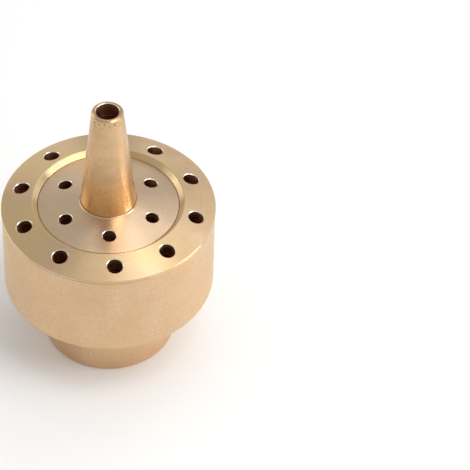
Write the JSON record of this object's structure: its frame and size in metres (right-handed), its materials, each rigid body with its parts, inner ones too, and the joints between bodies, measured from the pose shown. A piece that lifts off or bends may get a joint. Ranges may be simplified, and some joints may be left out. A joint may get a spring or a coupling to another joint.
{
  "type": "fountain nozzle",
  "caption": "Round brass fountain nozzle with a threaded neck, a tapered centre jet and two circles of outward-leaning jets.",
  "frame": {"origin": "centre of the inlet neck's bottom face", "axes": "+Z along the turned axis, from the inlet towards the tip of the centre jet; -Y is the front, near the first jet of each circle"},
  "size_m": [0.065, 0.065, 0.0896],
  "materials": {
    "body_brass": "fine turned, satin",
    "ring_brass": "fine turned, bright satin",
    "disc_brass": "fine turned, bright satin",
    "jet_brass": "turned, satin with faint rings",
    "seal_rubber": "matt black moulded rubber"
  },
  "bodies": {
    "inlet": {"inlet_body": "body_brass", "inlet_washer": "seal_rubber"},
    "ring_lifter": {"ring_seal": "seal_rubber"},
    "ring": {"outer_jet_ring": "ring_brass"},
    "disc_lifter": {"disc_seal": "seal_rubber"},
    "disc": {"inner_jet_disc": "disc_brass"},
    "jet_lifter": {"jet_seal": "seal_rubber"},
    "jet": {"centre_jet": "jet_brass"}
  },
  "joints": [
    {"name": "ring_lift", "type": "slide", "parent": "inlet", "child": "ring_lifter", "axis": [0, 0, 1], "range_m": [0, 0.00487]},
    {"name": "ring_turn", "type": "hinge", "parent": "ring_lifter", "child": "ring", "pos_m": [0, 0, 0.0465], "axis": [0, 0, 1], "range_deg": [0, 1170]},
    {"name": "disc_lift", "type": "slide", "parent": "ring", "child": "disc_lifter", "axis": [0, 0, 1], "range_m": [0, 0.00487]},
    {"name": "disc_turn", "type": "hinge", "parent": "disc_lifter", "child": "disc", "pos_m": [0, 0, 0.048], "axis": [0, 0, 1], "range_deg": [0, 1170]},
    {"name": "jet_lift", "type": "slide", "parent": "disc", "child": "jet_lifter", "axis": [0, 0, 1], "range_m": [0, 0.00487]},
    {"name": "jet_turn", "type": "hinge", "parent": "jet_lifter", "child": "jet", "pos_m": [0, 0, 0.0515], "axis": [0, 0, 1], "range_deg": [0, 1170]}
  ],
  "couplings": [
    {"joint": "ring_turn", "follows": "ring_lift", "rad_per_m": 4188.8},
    {"joint": "disc_turn", "follows": "disc_lift", "rad_per_m": 4188.8},
    {"joint": "jet_turn", "follows": "jet_lift", "rad_per_m": 4188.8}
  ]
}
